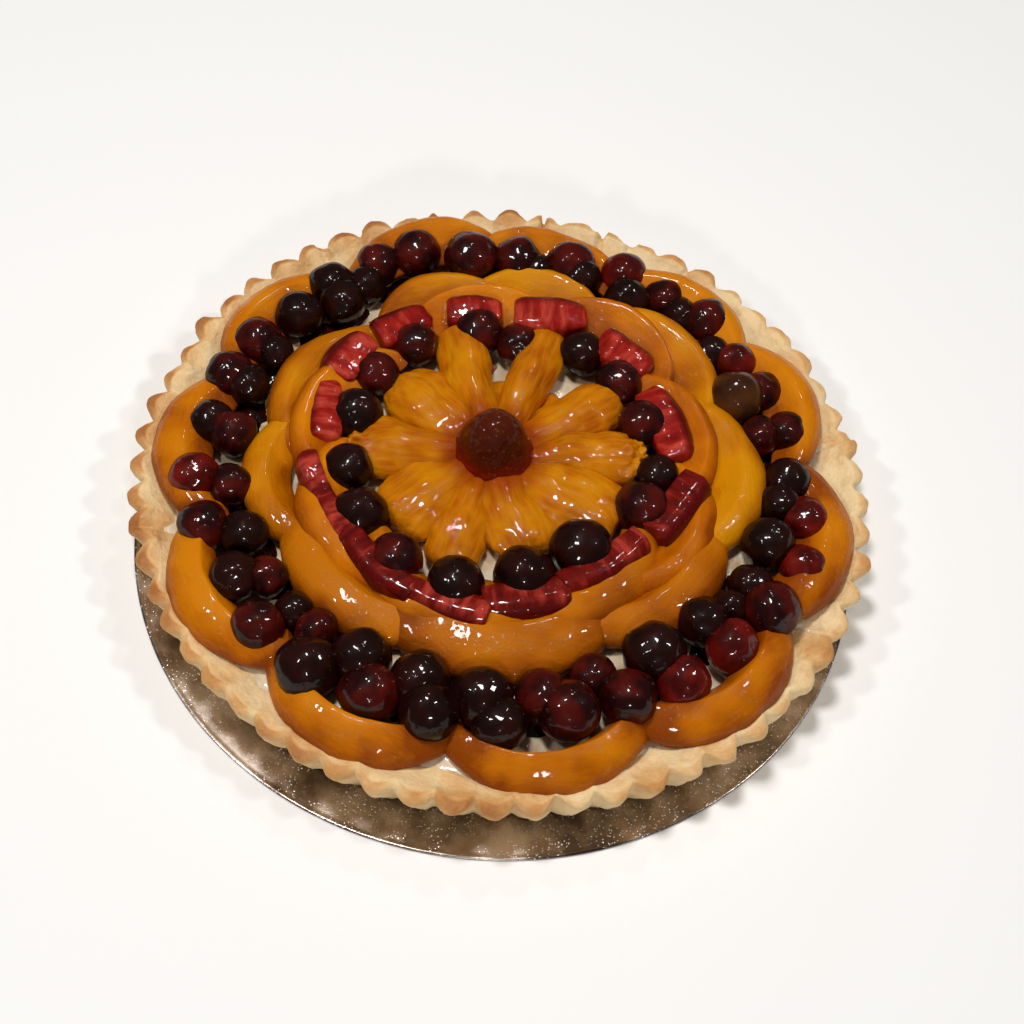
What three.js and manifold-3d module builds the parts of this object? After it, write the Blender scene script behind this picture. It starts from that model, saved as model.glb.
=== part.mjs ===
// A glazed fruit tart, 280 mm across, standing on the loose metal base of its tin.
// Millimetres, +Z up. The origin is the centre of the underside of the metal base.
//
// From the bottom up: the metal base, a fluted pastry crust, a domed layer of pastry cream, and
// the fruit laid on it in rings. Fruit that would share room is cut back with a small gap, so
// that every piece is a solid of its own.
import * as THREE from "three";
import { mergeVertices } from "three/addons/utils/BufferGeometryUtils.js";
import Module from "manifold-3d";

const wasm = await Module();
wasm.setup();

// ---------------------------------------------------------------- driving dimensions
const GAP = 0.3; // between neighbouring pieces
const PLAIN = 0.45; // surfaces this close to flat are drawn with fewer faces
const BERRY_PLAIN = 0.9; // and on the berries, which are many
const BASE_RADIUS = 137; // the metal disc
const BASE_THICKNESS = 1;
const TART_X = 1; // the tart has slid a little to the back of its base
const TART_Y = 8;
const RIM_RADIUS = 140; // the crust at the tips of its flutes
const RIM_TOP = 26;
const FOOT_RADIUS = 127; // the crust at its foot
const FLUTES = 60;
const FLUTE_DEPTH = 5.5; // from tip to valley at the rim
const FIRST_TIP = 4; // degrees from +X to the first flute tip
const FLOOR_THICKNESS = 3;
const CREAM_EDGE = 20; // height of the cream at the wall
const CREAM_CENTRE = 27; // and at the centre
const CREAM_RADIUS = 129;
const CREAM_FOOT = 121;
const GLAZE = 1.6; // the glaze that has run between the berries

// ---------------------------------------------------------------- helpers
const rad = (deg) => (deg * Math.PI) / 180;

// The height of the cream at a distance from the tart's axis.
const creamTop = (r) =>
  CREAM_CENTRE - (CREAM_CENTRE - CREAM_EDGE) * Math.pow(r / CREAM_RADIUS, 2);

// A three.js geometry as a manifold solid.
function solid(geometry) {
  const bare = new THREE.BufferGeometry();
  const flat = geometry.index ? geometry.toNonIndexed() : geometry;
  bare.setAttribute("position", flat.getAttribute("position"));
  const merged = mergeVertices(bare, 1e-3);
  return new wasm.Manifold(
    new wasm.Mesh({
      numProp: 3,
      vertProperties: merged.attributes.position.array,
      triVerts: new Uint32Array(merged.index.array),
    }),
  );
}

// A manifold solid as a three.js geometry.
function geometryOf(body) {
  const mesh = body.getMesh();
  const out = new THREE.BufferGeometry();
  const points = new Float32Array(mesh.numVert * 3);
  for (let i = 0; i < mesh.numVert; i++)
    for (let k = 0; k < 3; k++)
      points[3 * i + k] = mesh.vertProperties[mesh.numProp * i + k];
  out.setAttribute("position", new THREE.BufferAttribute(points, 3));
  out.setIndex(new THREE.BufferAttribute(new Uint32Array(mesh.triVerts), 1));
  out.computeVertexNormals();
  return out;
}

// Every vertex of a geometry moved by a formula.
function moved(geometry, formula) {
  const p = geometry.attributes.position;
  const v = new THREE.Vector3();
  for (let i = 0; i < p.count; i++) {
    v.fromBufferAttribute(p, i);
    formula(v);
    p.setXYZ(i, v.x, v.y, v.z);
  }
  return geometry;
}

// A profile of [radius, height] turned about Z.
function turned(profile, segments) {
  const points = profile.map(([r, z]) => new THREE.Vector2(r, z));
  return new THREE.LatheGeometry(points, segments).rotateX(Math.PI / 2);
}

// The underside of a piece of fruit, let down onto the cream as a small flat. A copy that is
// grown to cut its neighbours reaches a little lower.
function rested(shape, grow) {
  const down = (v) => {
    v.z = Math.max(v.z, creamTop(Math.hypot(v.x, v.y)) + GAP - 1.5 * grow);
  };
  return solid(moved(shape, down));
}

// ---------------------------------------------------------------- the metal base
const EDGE = 0.35; // bevel of the disc's edge
const baseShape = turned(
  [
    [0, 0],
    [BASE_RADIUS - EDGE, 0],
    [BASE_RADIUS, BASE_THICKNESS / 2],
    [BASE_RADIUS - EDGE, BASE_THICKNESS],
    [0, BASE_THICKNESS],
  ],
  90,
);

// ---------------------------------------------------------------- the crust
// The crust is turned, and then pulled in at the valleys of its flutes: little at the foot,
// fully at the rim, and not at all where it faces the cream. 0 at a valley, 1 at a round tip.
const flute = (angle) =>
  Math.pow(Math.abs(Math.sin(((angle - rad(FIRST_TIP + 180 / FLUTES)) * FLUTES) / 2)), 0.8);

const crustBottom = BASE_THICKNESS + GAP;
const crustFloor = crustBottom + FLOOR_THICKNESS;
const crustShape = turned(
  [
    [0, crustBottom],
    [FOOT_RADIUS, crustBottom],
    [RIM_RADIUS, RIM_TOP - 1.4],
    [RIM_RADIUS - 2, RIM_TOP],
    [RIM_RADIUS - 4.4, RIM_TOP - 1.2],
    [CREAM_RADIUS + GAP, CREAM_EDGE],
    [CREAM_FOOT + GAP, crustFloor],
    [0, crustFloor],
  ],
  FLUTES * 4,
).rotateZ(rad(FIRST_TIP));
moved(crustShape, (v) => {
  const r = Math.hypot(v.x, v.y);
  if (r < 1) return;
  const angle = Math.atan2(v.y, v.x);
  const high = (v.z - crustBottom) / (RIM_TOP - crustBottom);
  const facesCream = r <= CREAM_RADIUS + GAP + 0.01 && v.z > crustBottom + 1;
  const depth = facesCream ? 0 : FLUTE_DEPTH * (0.25 + 0.75 * high);
  const uneven = 0.5 * Math.sin(7 * angle + 1) + 0.4 * Math.sin(17 * angle);
  const scale = (r - depth * (1 - flute(angle))) / r;
  v.x *= scale;
  v.y *= scale;
  if (high > 0.9) v.z += uneven;
});

// ---------------------------------------------------------------- the cream
const creamShape = turned(
  [
    [0, crustFloor + GAP],
    [CREAM_FOOT - GAP, crustFloor + GAP],
    [CREAM_RADIUS - GAP, CREAM_EDGE],
    [105, creamTop(105)],
    [75, creamTop(75)],
    [40, creamTop(40)],
    [0, CREAM_CENTRE],
  ],
  48,
);

// ---------------------------------------------------------------- shapes of fruit
// A peach slice: a crescent bent about its inner side, thick outside and thin inside.
// `out` is the distance of its outer edge from the tart's axis, `at` its angle in degrees.
const PEACH = { length: 72, width: 22, height: 15, bend: 36 };
function peach({ at, out, lift, size = 1, tilt = 0, grow = 0 }) {
  const w = (PEACH.width / 2) * size + grow;
  const h = (PEACH.height / 2) * size + grow;
  const bow = PEACH.bend * size;
  const half = Math.asin((PEACH.length * size) / 2 / (bow + 2)) + grow / bow;
  const centre = out - (PEACH.width / 2) * size;
  const shape = new THREE.SphereGeometry(1, 8, 8);
  moved(shape, (v) => {
    const along = v.y;
    const taper = Math.pow(Math.max(1 - along * along, 0), 0.15);
    const across = v.x * taper;
    const up = v.z * taper * (0.66 + 0.34 * v.x);
    const turn = along * half;
    const radius = bow + across * w;
    v.x = -radius * Math.sin(turn);
    v.y = radius * Math.cos(turn) - bow;
    v.z = up * h;
  });
  shape.rotateX(rad(tilt));
  shape.translate(0, centre, creamTop(centre) + lift);
  shape.rotateZ(rad(at - 90));
  return rested(shape, grow);
}

// A berry: a ball a little wider than high.
function berry([x, y, r], grow = 0) {
  const shape = new THREE.SphereGeometry(r + grow, 7, 4);
  shape.rotateX(Math.PI / 2).scale(1, 1, 0.94);
  shape.rotateZ(x * 0.7 + y);
  shape.translate(x, y, creamTop(Math.hypot(x, y)) + 0.92 * r);
  return rested(shape, grow);
}

// A cut strawberry: a rounded block, flat on top where the knife went through.
function strawberry({ x, y, long, wide, high, turn = 0, grow = 0 }) {
  const shape = new THREE.SphereGeometry(1, 8, 4).rotateX(Math.PI / 2);
  const heading = Math.atan2(y, x) + Math.PI / 2 + rad(turn);
  moved(shape, (v) => {
    const narrow = 1 - 0.22 * v.x;
    v.x = Math.sign(v.x) * Math.pow(Math.abs(v.x), 0.8) * (long + grow);
    v.y = Math.sign(v.y) * Math.pow(Math.abs(v.y), 0.8) * (wide + grow) * narrow;
    v.z = Math.min(v.z, 0.62) * (high + grow);
  });
  shape.rotateZ(heading);
  shape.translate(x, y, creamTop(Math.hypot(x, y)) + 0.55 * high);
  return rested(shape, grow);
}

// A mandarin segment, pointing outwards from the middle of the rosette, blunt at its outer end.
const ROSETTE = { x: -5, y: 6 };
function mandarin({ at, from, to, wide, lift, grow = 0 }) {
  const half = (to - from) / 2 + grow;
  const shape = new THREE.SphereGeometry(1, 8, 7).rotateZ(-Math.PI / 2);
  moved(shape, (v) => {
    const blunt = Math.pow(Math.max(1 - v.x * v.x, 0.01), -0.2) * (0.84 + 0.2 * v.x);
    v.z *= (7 + grow) * (0.85 + 0.15 * v.x);
    v.y *= (wide / 2 + grow) * blunt;
    v.x *= half;
  });
  shape.translate((from + to) / 2, 0, 0);
  shape.rotateZ(rad(at));
  shape.translate(ROSETTE.x, ROSETTE.y, CREAM_CENTRE + lift);
  return rested(shape, grow);
}

// The whole strawberry that stands tip up in the middle.
const CENTRE = { radius: 15, height: 21, foot: 33 };
function centreFruit(grow = 0) {
  const shape = new THREE.SphereGeometry(1, 14, 9).rotateX(Math.PI / 2);
  moved(shape, (v) => {
    const round = CENTRE.radius * (1 - 0.1 * Math.max(v.z, 0)) + grow;
    v.x *= round;
    v.y *= round;
    v.z = Math.max(v.z * 15, -5) + 5;
    v.z = v.z * (CENTRE.height / 20) + (v.z > 1 ? grow : -grow);
  });
  return solid(shape.translate(ROSETTE.x, ROSETTE.y, CENTRE.foot));
}

// ---------------------------------------------------------------- where the fruit lies
// Outer ring of peach slices, leaning on the rim.
const OUTER_PEACHES = [
  { at: 87, out: 129, lift: 5.5 },
  { at: 111, out: 133, lift: 7 },
  { at: 146, out: 132, lift: 6 },
  { at: 179, out: 134, lift: 6 },
  { at: 213, out: 133, lift: 6 },
  { at: 247, out: 132, lift: 6 },
  { at: 283, out: 132, lift: 6 },
  { at: 318, out: 135, lift: 7 },
  { at: 353, out: 135, lift: 7 },
  { at: 27, out: 132, lift: 6 },
  { at: 54, out: 130, lift: 7 },
];
// Inner peaches: a lower tier next to the berries and an upper tier next to the strawberries.
const LOWER_PEACHES = [
  { at: 86, out: 103, lift: 6, size: 0.85 },
  { at: 112, out: 101, lift: 6, size: 0.85 },
  { at: 155, out: 99, lift: 6 },
  { at: 188, out: 99, lift: 6, size: 0.85 },
  { at: 226, out: 95, lift: 6 },
  { at: 272, out: 92, lift: 6, size: 1.15 },
  { at: 328, out: 94, lift: 6 },
  { at: 8, out: 100, lift: 6 },
  { at: 50, out: 103, lift: 6 },
];
const UPPER_PEACHES = [
  { at: 103, out: 90, lift: 8, size: 0.85 },
  { at: 62, out: 95, lift: 8, size: 0.85 },
  { at: 22, out: 84, lift: 8, size: 0.85 },
  { at: 342, out: 84, lift: 8, size: 0.85 },
  { at: 302, out: 77, lift: 8, size: 0.95 },
  { at: 256, out: 79, lift: 8, size: 0.95 },
  { at: 210, out: 82, lift: 8, size: 0.95 },
  { at: 163, out: 85, lift: 8, size: 0.95 },
];
const STRAWBERRIES = [
  { x: 12, y: 79, long: 13, wide: 8, high: 10 },
  { x: -20, y: 77, long: 10, wide: 7, high: 9 },
  { x: -44, y: 66, long: 12, wide: 8, high: 9 },
  { x: -63, y: 45, long: 11, wide: 7, high: 9 },
  { x: -70, y: 19, long: 14, wide: 6, high: 9 },
  { x: -69, y: -15, long: 15, wide: 5, high: 9 },
  { x: -50, y: -43, long: 15, wide: 5, high: 9 },
  { x: -19, y: -60, long: 15, wide: 5, high: 9 },
  { x: 18, y: -56, long: 15, wide: 6, high: 9 },
  { x: 43, y: -39, long: 13, wide: 6, high: 9 },
  { x: 65, y: -9, long: 14, wide: 6, high: 9 },
  { x: 61, y: 32, long: 15, wide: 7, high: 10 },
  { x: 42, y: 61, long: 12, wide: 8, high: 9 },
];
const MANDARINS = [
  { at: 333, from: 12, to: 54, wide: 36, lift: 5 },
  { at: 294, from: 8, to: 44, wide: 26, lift: 5.5 },
  { at: 225, from: 12, to: 48, wide: 30, lift: 5.5 },
  { at: 141, from: 10, to: 50, wide: 26, lift: 5.5 },
  { at: 108, from: 12, to: 62, wide: 22, lift: 6 },
  { at: 75, from: 12, to: 66, wide: 20, lift: 6.5 },
  { at: 38, from: 12, to: 56, wide: 21, lift: 6 },
  { at: 6, from: 12, to: 56, wide: 20, lift: 6 },
  { at: 257, from: 10, to: 52, wide: 20, lift: 5 },
  { at: 180, from: 12, to: 53, wide: 20, lift: 6 },
];
// Berries: [x, y, radius], two staggered rows around the outer peaches and one inner ring.
const OUTER_BERRIES = [
  [107, 12, 8.5], [104, 0, 8], [96, 32, 7.5], [106, 35, 8], [86, 48, 10], [96, 54, 8],
  [85, 67, 8], [76, 70, 7.5], [73, 86, 9], [63, 88, 7.5], [56, 96, 8], [39, 105, 9],
  [41, 93, 8.5], [22, 101, 8], [17, 107, 9.5], [3, 102, 7.5],
  [-4, 106, 9.5], [-23, 104, 10.5], [-45, 105, 9.5], [-60, 97, 8.5], [-63, 86, 7.5],
  [-76, 83, 9], [-71, 75, 8.5], [-87, 66, 9], [-101, 51, 9], [-94, 46, 7.5],
  [-109, 33, 9], [-101, 29, 8], [-112, 10, 8.5], [-103, 5, 8.5],
  [-114, -16, 9], [-100, -19, 8], [-107, -38, 9], [-92, -40, 8.5], [-92, -59, 9],
  [-81, -57, 7.5], [-81, -78, 9], [-69, -70, 7], [-60, -77, 7.5], [-61, -94, 11],
  [-43, -88, 10.5], [-38, -101, 10.5], [-21, -95, 10.5], [-17, -106, 10.5],
  [1, -98, 10.5], [8, -107, 9.5], [22, -95, 9.5], [31, -100, 10.5], [39, -84, 8],
  [52, -92, 10], [60, -73, 11], [71, -82, 9.5], [77, -57, 9], [88, -65, 9.5], [87, -48, 7],
  [94, -38, 8], [102, -48, 10], [100, -19, 9.5], [113, -27, 8.5], [114, -5, 8.5],
];
const INNER_BERRIES = [
  [-40, 55, 8.5], [-16, 64, 9], [0, 61, 8], [25, 60, 8.5], [40, 46, 9], [50, 27, 9.5],
  [57, 5, 8], [52, -13, 10], [31, -34, 11], [11, -49, 11], [-13, -56, 10.5], [-36, -47, 10],
  [-51, -29, 10], [-58, -8, 9], [-58, 17, 9.5], [-53, 38, 8.5],
];

// ---------------------------------------------------------------- the fruit, cut to fit
// `kept` holds every piece laid so far with a slightly larger copy of it. A new piece is cut by
// the larger copies of the pieces it meets, which leaves the gap between them.
const kept = [];
function overlaps(a, b) {
  return [0, 1, 2].every((k) => a.min[k] < b.max[k] && b.min[k] < a.max[k]);
}
function largest(body) {
  return body.decompose().reduce((a, b) => (a.volume() > b.volume() ? a : b));
}
function everyEdgeHasTwoFaces(body) {
  const { vertProperties, triVerts, numProp } = body.getMesh();
  const point = (i) =>
    [0, 1, 2].map((k) => vertProperties[numProp * i + k].toFixed(3)).join(" ");
  const uses = new Map();
  for (let t = 0; t < triVerts.length; t += 3)
    for (let k = 0; k < 3; k++) {
      const ends = [point(triVerts[t + k]), point(triVerts[t + ((k + 1) % 3)])];
      const edge = ends.sort().join("|");
      uses.set(edge, (uses.get(edge) || 0) + 1);
    }
  return [...uses.values()].every((n) => n === 2);
}
// The body cut back from everything laid so far, with faces closer than `plain` to flat joined.
function fitted(body, plain) {
  let left = body;
  for (const other of kept)
    if (overlaps(left.boundingBox(), other.box)) left = left.subtract(other.shape(GAP + plain));
  left = largest(left.asOriginal().simplify(plain));
  for (const again of [1, 2]) {
    for (const other of kept)
      if (overlaps(left.boundingBox(), other.box) && left.intersect(other.body).volume() > 1e-4)
        left = left.subtract(other.shape(GAP * again));
    left = largest(left.asOriginal().simplify(0.03 * again));
    left = largest(solid(geometryOf(left))); // hollows closed by rounding are filled
  }
  return left;
}
function lay(name, body, shape, plain = PLAIN) {
  let left = fitted(body, plain);
  for (let less = plain * 0.9; !everyEdgeHasTwoFaces(left) && less > 0.1; less *= 0.9)
    left = fitted(body, less);
  kept.push({ name, body: left, shape, box: shape(GAP + 1).boundingBox() });
}

// The wall and rim of the crust as the outer slices meet them.
const wallGuard = solid(
  turned(
    [
      [CREAM_RADIUS - 2, CREAM_EDGE - 8],
      [RIM_RADIUS + 8, CREAM_EDGE - 8],
      [RIM_RADIUS + 8, RIM_TOP + 1.2],
      [RIM_RADIUS - FLUTE_DEPTH - 4.6, RIM_TOP + 1.2],
      [RIM_RADIUS - FLUTE_DEPTH - 5.6, RIM_TOP - 1.4],
      [CREAM_RADIUS - 2, CREAM_EDGE - 2],
      [CREAM_RADIUS - 2, CREAM_EDGE - 8],
    ],
    60,
  ),
);

OUTER_PEACHES.forEach((p, i) => {
  lay("peach_outer_" + (i + 1), peach(p).subtract(wallGuard), (grow) => peach({ ...p, grow }));
});
STRAWBERRIES.forEach((p, i) => {
  lay("strawberry_piece_" + (i + 1), strawberry(p), (grow) => strawberry({ ...p, grow }));
});
UPPER_PEACHES.forEach((p, i) => {
  lay("peach_upper_" + (i + 1), peach(p), (grow) => peach({ ...p, grow }));
});
LOWER_PEACHES.forEach((p, i) => {
  lay("peach_lower_" + (i + 1), peach(p), (grow) => peach({ ...p, grow }));
});
lay("strawberry_centre", centreFruit(), centreFruit);
MANDARINS.forEach((p, i) => {
  lay("mandarin_" + (i + 1), mandarin(p), (grow) => mandarin({ ...p, grow }));
});

// Berries that touch are held together by the glaze that has run between them.
function glazeRing(inner, outer, start, sweep) {
  const steps = Math.max(8, Math.round(sweep / 6));
  const points = [inner, outer].map((r) => [r, creamTop(r) + GAP]);
  const profile = [points[0], points[1], [outer, points[1][1] + GLAZE], [inner, points[0][1] + GLAZE]];
  const full = solid(turned([...profile, profile[0]], 60));
  if (sweep >= 360) return full;
  const wedge = new THREE.Shape();
  wedge.moveTo(0, 0);
  for (let i = 0; i <= steps; i++) {
    const a = rad(start + (sweep * i) / steps);
    wedge.lineTo(200 * Math.cos(a), 200 * Math.sin(a));
  }
  return full.intersect(solid(new THREE.ExtrudeGeometry(wedge, { depth: 80, bevelEnabled: false })));
}
function berries(name, list, glaze) {
  const all = (grow) => list.map((b) => berry(b, grow)).reduce((a, b) => a.add(b));
  lay(name, all(0).add(glaze), all, BERRY_PLAIN);
}
const angleOf = ([x, y]) => (Math.atan2(y, x) * 180) / Math.PI;
const ARCS = 4;
for (let i = 0; i < ARCS; i++) {
  const start = (360 / ARCS) * i;
  const inArc = OUTER_BERRIES.filter((b) => {
    const a = (angleOf(b) + 360) % 360;
    return a >= start && a < start + 360 / ARCS;
  });
  berries("berries_outer_" + (i + 1), inArc, glazeRing(96, 110, start + 7, 360 / ARCS - 14));
}
berries("berries_inner", INNER_BERRIES, glazeRing(54, 62, 0, 360));

// ---------------------------------------------------------------- the assembly
const look = (colour, roughness, metalness = 0) =>
  new THREE.MeshStandardMaterial({ color: colour, roughness, metalness });
const METAL = look(0xb9b6b0, 0.25, 1);
const PASTRY = look(0xd9b27a, 0.8);
const CREAM = look(0xeadbb4, 0.5);
const COLOURS = {
  peach_outer: look(0xd98a18, 0.2),
  peach_lower: look(0xd99a1c, 0.2),
  peach_upper: look(0xcf7a10, 0.2),
  strawberry: look(0xa32020, 0.25),
  mandarin: look(0xe09a14, 0.2),
  berries: look(0x3a0c10, 0.12),
};

const tart = new THREE.Group();
tart.name = "tart";
tart.position.set(TART_X, TART_Y, 0);
function put(group, name, geometry, material) {
  const mesh = new THREE.Mesh(geometry, material);
  mesh.name = name;
  group.add(mesh);
}
const root = new THREE.Group();
root.name = "fruit_tart";
root.add(tart);
put(root, "base_plate", baseShape, METAL);
put(tart, "pastry_crust", crustShape, PASTRY);
put(tart, "pastry_cream", creamShape, CREAM);
for (const { name, body } of kept) {
  const key = Object.keys(COLOURS).find((k) => name.startsWith(k));
  put(tart, name, geometryOf(body), COLOURS[key]);
}

export default root;
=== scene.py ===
# %% [markdown]
# # A glazed fruit tart on the loose base of its tin
#
# The tart is 280 mm across: a fluted shell of shortcrust pastry, filled with pastry cream and
# covered with rings of tinned peach slices, dark berries and cut strawberries around a rosette
# of mandarin segments, with one whole strawberry in the middle. Clear glaze covers the fruit.
#
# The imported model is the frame. It says where each piece is, and every piece made here lies where
# its solid does, give or take a few millimetres. Sizes are given in millimetres and turned to
# metres at the moment a mesh is made.

import math
import random

import bmesh
import bpy
from mathutils import Matrix, Vector, noise


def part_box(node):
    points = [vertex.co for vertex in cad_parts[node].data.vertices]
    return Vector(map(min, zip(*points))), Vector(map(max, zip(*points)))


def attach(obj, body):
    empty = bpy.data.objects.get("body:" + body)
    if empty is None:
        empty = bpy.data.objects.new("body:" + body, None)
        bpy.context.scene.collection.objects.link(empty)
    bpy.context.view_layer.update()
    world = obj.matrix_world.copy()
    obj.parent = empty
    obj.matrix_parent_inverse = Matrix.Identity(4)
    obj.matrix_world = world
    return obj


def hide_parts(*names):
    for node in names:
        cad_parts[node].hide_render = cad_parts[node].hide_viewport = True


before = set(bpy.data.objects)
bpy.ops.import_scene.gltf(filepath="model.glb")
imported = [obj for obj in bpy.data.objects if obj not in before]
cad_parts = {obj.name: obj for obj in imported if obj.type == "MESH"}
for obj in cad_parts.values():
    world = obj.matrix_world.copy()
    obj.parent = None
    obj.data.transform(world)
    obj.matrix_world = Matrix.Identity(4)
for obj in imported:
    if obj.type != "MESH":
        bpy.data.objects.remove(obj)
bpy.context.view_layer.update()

MM = 0.001
crust_low, crust_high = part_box("pastry_crust")
AXIS = (crust_low + crust_high) / 2 / MM
AXIS.z = 0
print("nodes:", len(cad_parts), " tart axis at", round(AXIS.x, 1), round(AXIS.y, 1), "mm")

# %% [markdown]
# ## Two helpers for materials
#
# Colours are written as the hex values that a paint program shows. Blender's shaders work with
# linear light, so one function turns them. A second small function adds a node, fills in its
# sockets, and links those whose value is another node or one of its outputs.

# %% Colour and node helpers
def linear(hex_colour):
    parts = [int(hex_colour[i : i + 2], 16) / 255 for i in (1, 3, 5)]
    curve = [c / 12.92 if c <= 0.04045 else ((c + 0.055) / 1.055) ** 2.4 for c in parts]
    return (*curve, 1.0)


def add(tree, kind, inputs=None, stops=(), **settings):
    """Adds a node. `inputs` fills or links sockets, `stops` are a ramp's (place, hex)."""
    made = tree.nodes.new(kind)
    for name, value in settings.items():
        setattr(made, name, value)
    for name, value in (inputs or {}).items():
        if isinstance(value, bpy.types.Node):
            value = value.outputs[0]
        if isinstance(value, bpy.types.NodeSocket):
            tree.links.new(value, made.inputs[name])
        elif value is not None:
            made.inputs[name].default_value = value
    for i, (place, hex_colour) in enumerate(stops):
        band = made.color_ramp.elements
        element = band[i] if i < 2 else band.new(1.0)
        element.position = place
        element.color = linear(hex_colour)
    return made


def per_mm(size):
    """The texture scale at which one cell of a pattern is `size` millimetres wide."""
    return 1 / (size * MM)


print("a 2 mm pattern has scale", per_mm(2))

# %% [markdown]
# Fruit of one kind shares one material, so the pattern must not repeat from piece to piece.
# Each piece has its own origin, and adding the piece's place to the texture coordinates moves
# the pattern to a fresh spot of the noise.

# %% A material with its own patch of pattern on each piece
def start_material(name, slot, **shader):
    material = bpy.data.materials.new(name)
    material.use_nodes = True
    tree = material.node_tree
    body = tree.nodes["Principled BSDF"]
    for socket, value in shader.items():
        body.inputs[socket.replace("_", " ")].default_value = value
    own = add(tree, "ShaderNodeTexCoord").outputs["Object"]
    place = add(tree, "ShaderNodeObjectInfo").outputs["Location"]
    spot = add(tree, "ShaderNodeVectorMath", {0: own, 1: place}, operation="ADD")
    material["slot"] = slot
    return material, tree, body, spot.outputs[0]


# %% [markdown]
# ## Fruit under glaze
#
# Bakers' glaze is set sugar syrup, with an IOR near 1.5. It lies over everything, so each fruit
# gets a clear, very smooth coat. Under it the wet flesh has almost the glaze's own IOR, so its
# own reflection is turned nearly off: that is what makes glazed fruit look deep in colour.
# What gives the sparkle is not the smooth film but what stands out of it, each bit of which
# catches every lamp in the room: swellings about 3.5 mm wide, and drops in patches. They go to
# the coat's own normal, so that the flesh below stays calm. On the orange fruit the film is
# thin and has soaked in, and its coat is weak: a few sparks, and no haze over the colour.

# %% Glaze
GLAZE = dict(Coat_Roughness=0.03, Coat_IOR=1.52, Specular_IOR_Level=0.08)
SWELLING = 3.5
DROP_PATCH = 12


def glaze_over(tree, body, spot, *relief, swell=0.4, drops=0.2, drop_size=3.0):
    """Gives the flesh its relief, (height, depth in mm) each, and the film its own on top."""
    flesh = None
    for height, depth in relief:
        inputs = {"Height": height, "Distance": depth * MM, "Normal": flesh}
        flesh = add(tree, "ShaderNodeBump", inputs)
    if flesh:
        tree.links.new(flesh.outputs[0], body.inputs["Normal"])
    waves = add(
        tree, "ShaderNodeTexNoise", {"Vector": spot, "Scale": per_mm(SWELLING), "Detail": 0.6}
    )
    film = add(tree, "ShaderNodeBump", {"Height": waves, "Distance": swell * MM})
    cells = add(tree, "ShaderNodeTexVoronoi", {"Vector": spot, "Scale": per_mm(drop_size)})
    drop = add(
        tree, "ShaderNodeMapRange", {0: cells, 1: 0.0, 2: 0.4, 3: 1.0, 4: 0.0},
        interpolation_type="SMOOTHSTEP",
    )
    patches = add(tree, "ShaderNodeTexNoise", {"Vector": spot, "Scale": per_mm(DROP_PATCH)})
    where = add(tree, "ShaderNodeMapRange", {0: patches, 1: 0.42, 2: 0.6, 3: 0.2, 4: 1.0})
    height = add(tree, "ShaderNodeMath", {0: drop, 1: where}, operation="MULTIPLY")
    film = add(
        tree, "ShaderNodeBump", {"Height": height, "Distance": drops * MM, "Normal": film}
    )
    tree.links.new(film.outputs[0], body.inputs["Coat Normal"])


print("glaze:", GLAZE)

# %% [markdown]
# Tinned peach is soft, wet flesh that light enters, so it gets a little subsurface light. Fine
# threads run through it, the colour drifts between yellow and a deeper orange, and each slice has
# its own tone. All of them get darker towards the foot, partly where glaze gathers and partly as
# painted shade where the slice meets the cream, and on the side where the berries lie, because
# berry juice has soaked in there: the inner side of the outer slices (-Y in their own axes) and
# the outer side of the others. The flesh is finely grained, which keeps the colour matt between
# the sparks of the glaze.

# %% Tinned peach
def peach_material(name, light, middle, deep, berries_at=12):
    material, tree, body, spot = start_material(
        name, "peach", Roughness=0.45, IOR=1.38, Coat_Weight=0.3, **GLAZE,
        Subsurface_Weight=0.12, Subsurface_Radius=(1.0, 0.38, 0.08), Subsurface_Scale=4 * MM,
    )
    broad = add(
        tree, "ShaderNodeTexNoise", {"Vector": spot, "Scale": per_mm(26), "Detail": 2.0}
    )
    along = add(
        tree, "ShaderNodeMapping",
        {"Vector": spot, "Scale": (per_mm(14), per_mm(1.4), per_mm(1.4))},
    )
    threads = add(tree, "ShaderNodeTexNoise", {"Vector": along, "Scale": 1.0, "Detail": 3.0})
    own = add(tree, "ShaderNodeTexCoord").outputs["Object"]
    own = add(tree, "ShaderNodeSeparateXYZ", {0: own})
    # Darker towards the foot: partly glaze gathered there, partly painted shade where the slice
    # meets the cream.
    glaze_and_painted_shade_at_foot = add(
        tree, "ShaderNodeMapRange",
        {0: own.outputs["Z"], 1: -3 * MM, 2: 8 * MM, 3: -0.22, 4: 0.06},
    )
    beside_berries = add(
        tree, "ShaderNodeMapRange",
        {0: own.outputs["Y"], 1: berries_at * MM, 2: berries_at * 0.3 * MM, 3: -0.2, 4: 0.0},
    )
    darkened = add(tree, "ShaderNodeMath", {0: glaze_and_painted_shade_at_foot, 1: beside_berries}, operation="ADD")
    slice_tone = add(tree, "ShaderNodeObjectInfo").outputs["Random"]
    toned = add(
        tree, "ShaderNodeMath", {0: slice_tone, 1: 0.1, 2: darkened}, operation="MULTIPLY_ADD"
    )
    threaded = add(
        tree, "ShaderNodeMath", {0: threads, 1: 0.14, 2: toned}, operation="MULTIPLY_ADD"
    )
    mixed = add(
        tree, "ShaderNodeMath", {0: broad, 1: 0.86, 2: threaded}, operation="MULTIPLY_ADD"
    )
    tone = add(
        tree, "ShaderNodeValToRGB", {"Fac": mixed},
        stops=[(0.32, deep), (0.48, middle), (0.66, light)],
    )
    tree.links.new(tone.outputs[0], body.inputs["Base Color"])
    grain = add(
        tree, "ShaderNodeTexNoise", {"Vector": spot, "Scale": per_mm(1.3), "Detail": 3.0}
    )
    glaze_over(
        tree, body, spot, (threads, 0.1), (grain, 0.25), swell=0.12, drops=0.36, drop_size=1.8
    )
    return material


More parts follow.
